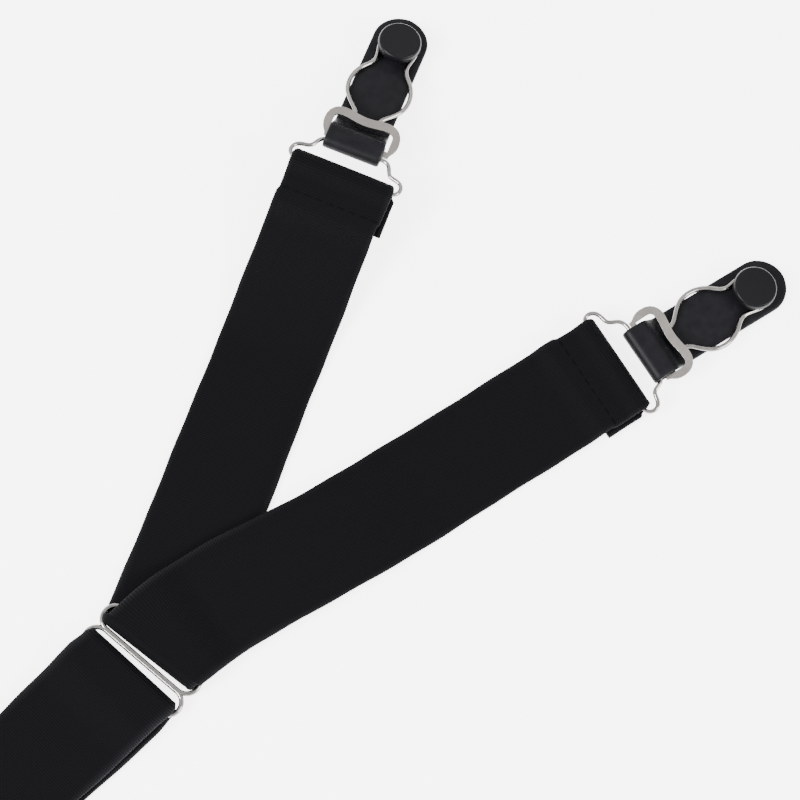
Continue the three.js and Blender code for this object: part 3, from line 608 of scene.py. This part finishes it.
def leather_material():
    material, tree, shader = new_material(
        "black leather", (0.006, 0.006, 0.0075), 0.5, specular=0.115,
    )
    coordinates = tree.nodes.new("ShaderNodeTexCoord").outputs["Object"]
    cells = tree.nodes.new("ShaderNodeTexVoronoi")
    cells.inputs["Scale"].default_value = 1900
    tree.links.new(coordinates, cells.inputs["Vector"])
    soft = noise_node(tree, coordinates, 420, 4.0)
    pebbles = math_node(tree, "MULTIPLY", cells.outputs["Distance"], 0.5)
    grain = math_node(tree, "ADD", pebbles, soft)
    colour = ramp_node(tree, soft, (
        (0.3, (0.0042, 0.0042, 0.0054)),
        (0.7, (0.0074, 0.0074, 0.0092)),
    ))
    tree.links.new(colour, shader.inputs["Base Color"])
    rough = math_node(tree, "ADD", math_node(tree, "MULTIPLY", soft, 0.25), 0.36)
    tree.links.new(rough, shader.inputs["Roughness"])
    bump_node(tree, shader, grain, 0.35, 0.00008)
    return material


def button_material():
    material, tree, shader = new_material(
        "black button", (0.0045, 0.0045, 0.0055), 0.25, specular=0.14,
    )
    coordinates = tree.nodes.new("ShaderNodeTexCoord").outputs["Object"]
    speck = noise_node(tree, coordinates, 1500, 2.0)
    rough = math_node(tree, "ADD", math_node(tree, "MULTIPLY", speck, 0.16), 0.26)
    tree.links.new(rough, shader.inputs["Roughness"])
    bump_node(tree, shader, speck, 0.08, 0.00003)
    return material


def wire_material():
    material, tree, shader = new_material(
        "bright nickel wire", (0.31, 0.297, 0.285), 0.12, 1.0, tint=0.12,
    )
    coordinates = tree.nodes.new("ShaderNodeTexCoord").outputs["Object"]
    wear = noise_node(tree, coordinates, 700, 4.0)
    colour = ramp_node(tree, wear, (
        (0.3, (0.25, 0.239, 0.229)),
        (0.7, (0.37, 0.356, 0.342)),
    ))
    tree.links.new(colour, shader.inputs["Base Color"])
    rough = math_node(tree, "ADD", math_node(tree, "MULTIPLY", wear, 0.14), 0.07)
    tree.links.new(rough, shader.inputs["Roughness"])
    bump_node(tree, shader, wear, 0.08, 0.00005)
    return material


def plate_material():
    material, tree, shader = new_material(
        "satin nickel plate", (0.36, 0.335, 0.32), 0.3, 1.0, tint=0.15,
    )
    coordinates = tree.nodes.new("ShaderNodeTexCoord").outputs["Object"]
    grain = noise_node(tree, coordinates, 2600, 3.0)
    cloud = noise_node(tree, coordinates, 160, 2.0)
    colour = ramp_node(tree, cloud, (
        (0.3, (0.33, 0.305, 0.29)),
        (0.7, (0.42, 0.39, 0.37)),
    ))
    tree.links.new(colour, shader.inputs["Base Color"])
    rough = math_node(tree, "ADD", math_node(tree, "MULTIPLY", grain, 0.2), 0.24)
    tree.links.new(rough, shader.inputs["Roughness"])
    bump_node(tree, shader, grain, 0.2, 0.00005)
    return material


def floor_material():
    material, tree, shader = new_material("pale floor", (0.93, 0.93, 0.93), 0.9, specular=0.0)
    coordinates = tree.nodes.new("ShaderNodeTexCoord").outputs["Object"]
    cloud = noise_node(tree, coordinates, 3, 1.0)
    colour = ramp_node(tree, cloud, ((0.0, (0.92, 0.92, 0.92)), (1.0, (0.94, 0.94, 0.94))))
    tree.links.new(colour, shader.inputs["Base Color"])
    shader.inputs["Emission Color"].default_value = (1, 1, 1, 1)
    shader.inputs["Emission Strength"].default_value = FLOOR_GLOW
    return material


ELASTIC = elastic_material()
LEATHER = leather_material()
BUTTON = button_material()
WIRE = wire_material()
PLATE = plate_material()


# Bands
def make_bands():
    fork = strip_mesh("fork_weave", fork_stations(), BAND_THICKNESS, BAND_EDGE, False, EDGE_TOOTH)
    placed(fork, "elastic", ELASTIC, "fork_band")
    lower = strip_mesh("lower_weave", lower_stations(), BAND_THICKNESS, BAND_EDGE, True, EDGE_TOOTH)
    placed(lower, "elastic", ELASTIC, "lower_band")


def make_stitches(side, leg, layer):
    """A row of thread across a leg's end, where its flap is sewn down."""
    mesh = bmesh.new()
    centre, across, normal, width = band_station(leg.course, layer, leg.length - STITCH_PLACE)
    up = normal * layer["side"]
    forward = up.cross(across).normalized()
    turned = Matrix((across, forward, up)).transposed().to_4x4()
    room = width / 2 - STITCH_MARGIN
    for sideways in spaced(-room, room, STITCH_SPACING):
        place = centre + across * sideways + up * (BAND_THICKNESS / 2 - STITCH_SINK) + ORIGIN
        matrix = Matrix.Translation(place * MM) @ turned @ Matrix.Diagonal((
            STITCH_LENGTH / 2 * MM, THREAD / 2 * MM, THREAD / 2 * MM, 1,
        ))
        bmesh.ops.create_uvsphere(mesh, u_segments=12, v_segments=8, radius=1, matrix=matrix)
    for face in mesh.faces:
        face.smooth = True
    placed(finished_mesh(f"{side}_stitches", mesh), "elastic", THREAD_BLACK)


# Clips
def clip_matrix(leg):
    """Place of a clip: its hanger is held in the leg's fold and its tip rests on the floor."""
    fold = leg.fold()
    headed = leg.course.heading(leg.length)
    hanger = Euler((math.radians(leg.end["slope"]), 0, -headed)).to_matrix()
    held = hanger @ Vector((HANGER_LEAN + leg.end["aside"], HANGER_REACH, 0)) + fold["centre"]
    droop = math.asin(held.z / math.hypot(TAB_BAR, TAB_REACH)) - math.atan2(TAB_BAR, TAB_REACH)
    turned = Euler((-droop, 0, -math.radians(leg.end["heading"]))).to_matrix()
    return Matrix.Translation(held - turned @ Vector((0, 0, TAB_BAR))) @ turned.to_4x4()


def tab_stations(matrix):
    plate_rise = HEAD_HEIGHT - (TAB_THICKNESS + GAP)
    slope = math.asin(plate_rise / PLATE_RUN)
    loop_foot = PLATE_FOOT + PLATE_RUN * math.cos(slope) + PLATE_TOP_BAR / 2 - LOOP_WIRE / 2
    slope_from = PLATE_FOOT + PLATE_FOOT_BAR / 2 + GAP
    slope_to = loop_foot - LOOP_WIRE / 2
    sideways = Vector((1, 0, 0))
    spread = TAB_WIDTH + TAB_SPREAD

    def risen(y):
        return TAB_LOW + (TAB_HIGH - TAB_LOW) * smooth(y, slope_to, slope_from)

    def layer(y, width):
        rise = (risen(y + SLOPE_PROBE) - risen(y - SLOPE_PROBE)) / (2 * SLOPE_PROBE)
        width += TAB_SPREAD * smooth(y, slope_to, slope_from)
        return Vector((0, y, risen(y))), sideways, Vector((0, -rise, 1)).normalized(), width

    radius = TAB_WIDTH / 2
    round_from = TAB_REACH - radius
    stations = []
    first_turn, turn_step = TAB_TIP_TURNS
    for turn in spaced(first_turn, 0, turn_step):
        angle = math.radians(turn)
        stations.append(layer(round_from + radius * math.sin(angle), TAB_WIDTH * math.cos(angle)))
    flat = spaced(round_from, slope_to, TAB_SPACING)
    bent = spaced(slope_to, 0, TAB_BEND_SPACING)
    for y in flat[1:] + bent[1:]:
        stations.append(layer(y, TAB_WIDTH))
    stations += fold_stations({
        "ahead": Vector((0, -1, 0)),
        "across": sideways,
        "centre": Vector((0, 0, TAB_BAR)),
        "radius": TAB_HIGH - TAB_BAR,
        "width": spread,
        "squeezed": spread,
    }, -1, 1)
    for y in spaced(0, TAB_FLAP, TAB_FLAP_SPACING):
        stations.append((Vector((0, y, TAB_LOW)), sideways, Vector((0, 0, -1)), spread))
    turned = matrix.to_3x3()
    return [(matrix @ c, turned @ a, turned @ n, w) for c, a, n, w in stations]


# A button's profile: radius, and height from the top of its head, in mm
BUTTON_HEAD = (
    (0, -0.04),
    (4.32, -0.04),
    (4.42, -0.03),
    (4.5, 0),
    (4.58, 0),
    (4.68, -0.05),
    (4.8, -0.16),
    (4.93, -0.37),
    (5.01, -0.62),
    (BUTTON_RADIUS, -0.95),
    (BUTTON_RADIUS, -1.7),
    (4.95, -2.0),
    (4.65, -BUTTON_HEIGHT),
    (POST_RADIUS, -BUTTON_HEIGHT),
)


def button_mesh(name, matrix):
    top = HEAD_HEIGHT + BUTTON_HEIGHT
    profile = [(radius, top + drop) for radius, drop in BUTTON_HEAD]
    profile += [(POST_RADIUS, TAB_THICKNESS), (0, TAB_THICKNESS)]
    mesh = bmesh.new()
    rings = []
    for radius, height in profile:
        ring = []
        for i in range(BUTTON_STEPS if radius else 1):
            turn = 2 * math.pi * i / BUTTON_STEPS
            local = Vector((
                BUTTON_SIDE + radius * math.cos(turn),
                BUTTON_PLACE + radius * math.sin(turn),
                height,
            ))
            ring.append(mesh.verts.new((matrix @ local + ORIGIN) * MM))
        rings.append(ring)
    for here, there in zip(rings, rings[1:]):
        for i in range(BUTTON_STEPS):
            corners = [here[i % len(here)], here[(i + 1) % len(here)]]
            corners += [there[(i + 1) % len(there)], there[i % len(there)]]
            mesh.faces.new(list(dict.fromkeys(corners))).smooth = True
    piece = finished_mesh(name, mesh)
    piece.data.set_sharp_from_angle(angle=SHARP_ANGLE)
    return piece


def refined(node, name):
    """A copy of a CAD node with its doubled points joined."""
    piece = bpy.data.objects.new(name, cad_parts[node].data.copy())
    bpy.context.scene.collection.objects.link(piece)
    mesh = bmesh.new()
    mesh.from_mesh(piece.data)
    bmesh.ops.remove_doubles(mesh, verts=mesh.verts, dist=1e-6)
    return piece, mesh


def round_wire(node, name):
    """A wire's facets, made round. The subdivision draws it in, so it is grown a little first."""
    piece, mesh = refined(node, name)
    bmesh.ops.join_triangles(
        mesh,
        faces=mesh.faces,
        angle_face_threshold=FACET_ANGLE,
        angle_shape_threshold=math.radians(180),
    )
    mesh.normal_update()
    for vertex in mesh.verts:
        vertex.co += vertex.normal * WIRE_GROWTH * MM
    for face in mesh.faces:
        face.smooth = True
    mesh.to_mesh(piece.data)
    mesh.free()
    modifier = piece.modifiers.new("round", "SUBSURF")
    modifier.levels = 2
    modifier.render_levels = 2
    placed(piece, "bright_wire", WIRE, node)


def window_outline(direction):
    """Middle line of one of the buckle's wire windows, with its outward directions."""
    reach = BUCKLE_WINDOW / 2
    straight = BAND_WIDTH / 2 + BUCKLE_SIDE_ROOM + BUCKLE_WIRE / 2 - reach
    outer = BUCKLE_WINDOW + BAR_SPREAD
    middle = (outer + GROOVE_SPREAD) / 2
    half = (outer - GROOVE_SPREAD) / 2
    points = []
    half_turn = spaced(-90, 90, WIRE_TURN_STEP)
    for side, turns in ((1, half_turn), (-1, half_turn[::-1])):
        for turn in turns:
            across = math.cos(math.radians(turn))
            along = math.sin(math.radians(turn))
            place = Vector((side * (straight + reach * across), middle + half * along, 0))
            outward = Vector((side * across, along, 0))
            place.y *= direction
            outward.y *= direction
            points.append((place, outward))
    return points


def buckle_wires():
    """The two windows, soldered side by side along the bar that they share."""
    mesh = bmesh.new()
    shift = Vector((BUCKLE_SHIFT, 0, BUCKLE_BAR)) + ORIGIN
    for direction in (1, -1):
        rings = []
        for place, outward in window_outline(direction):
            ring = []
            for i in range(WIRE_SIDES):
                turn = 2 * math.pi * i / WIRE_SIDES
                spoke = outward * math.cos(turn) + Vector((0, 0, math.sin(turn)))
                ring.append(mesh.verts.new((place + spoke * BUCKLE_WIRE / 2 + shift) * MM))
            rings.append(ring)
        for here, there in zip(rings, rings[1:] + rings[:1]):
            for i in range(WIRE_SIDES):
                face = mesh.faces.new((here[i], here[i - 1], there[i - 1], there[i]))
                face.smooth = True
    placed(finished_mesh("junction_buckle_wires", mesh), "bright_wire", WIRE, "junction_buckle")


def eased_plate(node, name):
    """A stamped plate with its edges eased."""
    piece, mesh = refined(node, name)
    bmesh.ops.dissolve_limit(
        mesh,
        angle_limit=FLAT_ANGLE,
        verts=mesh.verts,
        edges=mesh.edges,
    )
    mesh.to_mesh(piece.data)
    mesh.free()
    modifier = piece.modifiers.new("ease", "BEVEL")
    modifier.width = PLATE_EASE * MM
    modifier.segments = 3
    modifier.angle_limit = SHARP_ANGLE
    modifier.harden_normals = False
    piece.data.shade_smooth()
    piece.data.set_sharp_from_angle(angle=SHARP_ANGLE)
    placed(piece, "satin_plate", PLATE, node)


def make_clip(side, leg):
    matrix = clip_matrix(leg)
    tab = strip_mesh(f"{side}_tab_leather", tab_stations(matrix), TAB_THICKNESS, TAB_EDGE, False)
    placed(tab, "leather", LEATHER, f"{side}_grip_tab")
    placed(button_mesh(f"{side}_button_moulded", matrix), "black_plastic", BUTTON, f"{side}_button")
    round_wire(f"{side}_hanger", f"{side}_hanger_round")
    round_wire(f"{side}_catch_loop", f"{side}_catch_loop_round")
    eased_plate(f"{side}_catch_plate", f"{side}_catch_plate_eased")


THREAD_BLACK = new_material("black thread", (0.002, 0.002, 0.0025), 0.8, specular=0.05)[0]
make_bands()
make_stitches("left", left_leg, LEFT_LAYER)
make_stitches("right", right_leg, RIGHT_LAYER)
make_clip("left", left_leg)
make_clip("right", right_leg)
buckle_wires()
eased_plate("sock_clasp", "sock_clasp_eased")


# Camera at the photograph's angle
CAMERA_PLACE = Vector((73.1, -62.4, 562.7))
CAMERA_RIGHT = Vector((0.76355, 0.64168, 0.07237))
CAMERA_UP = Vector((-0.63513, 0.72602, 0.26364))


def make_camera():
    data = bpy.data.cameras.new("camera")
    data.lens = 117
    data.sensor_width = 36
    data.clip_start = 0.01
    camera = bpy.data.objects.new("camera", data)
    bpy.context.scene.collection.objects.link(camera)
    back = CAMERA_RIGHT.cross(CAMERA_UP).normalized()
    turned = Matrix((CAMERA_RIGHT, CAMERA_UP, back)).transposed().to_4x4()
    camera.matrix_world = Matrix.Translation((CAMERA_PLACE + ORIGIN) * MM) @ turned
    bpy.context.scene.camera = camera


def make_floor():
    mesh = bmesh.new()
    bmesh.ops.create_grid(mesh, x_segments=1, y_segments=1, size=3)
    floor = finished_mesh("floor", mesh)
    floor.data.materials.append(floor_material())


def make_softbox(name, place, size, power):
    data = bpy.data.lights.new(name, "AREA")
    data.shape = "SQUARE"
    data.size = size
    data.energy = power
    light = bpy.data.objects.new(name, data)
    light.location = place
    light.rotation_euler = (-Vector(place)).to_track_quat("-Z", "Y").to_euler()
    bpy.context.scene.collection.objects.link(light)


def make_world():
    """A pale room: bright overhead and darker towards the horizon, which the metal mirrors."""
    world = bpy.data.worlds.new("studio")
    world.use_nodes = True
    tree = world.node_tree
    background = tree.nodes["Background"]
    coordinates = tree.nodes.new("ShaderNodeTexCoord").outputs["Generated"]
    split = tree.nodes.new("ShaderNodeSeparateXYZ")
    tree.links.new(coordinates, split.inputs[0])
    colour = ramp_node(tree, split.outputs[2], (
        (0.0, (0.04, 0.04, 0.04)),
        (0.3, (0.1, 0.1, 0.1)),
        (0.6, (1.0, 1.0, 1.0)),
        (0.86, (0.8, 0.8, 0.8)),
        (0.96, (0.4, 0.4, 0.4)),
    ))
    tree.links.new(colour, background.inputs["Color"])
    background.inputs["Strength"].default_value = 2.0
    bpy.context.scene.world = world


make_camera()
make_floor()
make_world()
make_softbox("softbox_near", (-0.7, -1.3, 1.4), 0.9, 80)
make_softbox("softbox_right", (1.5, 0.4, 1.1), 0.7, 30)
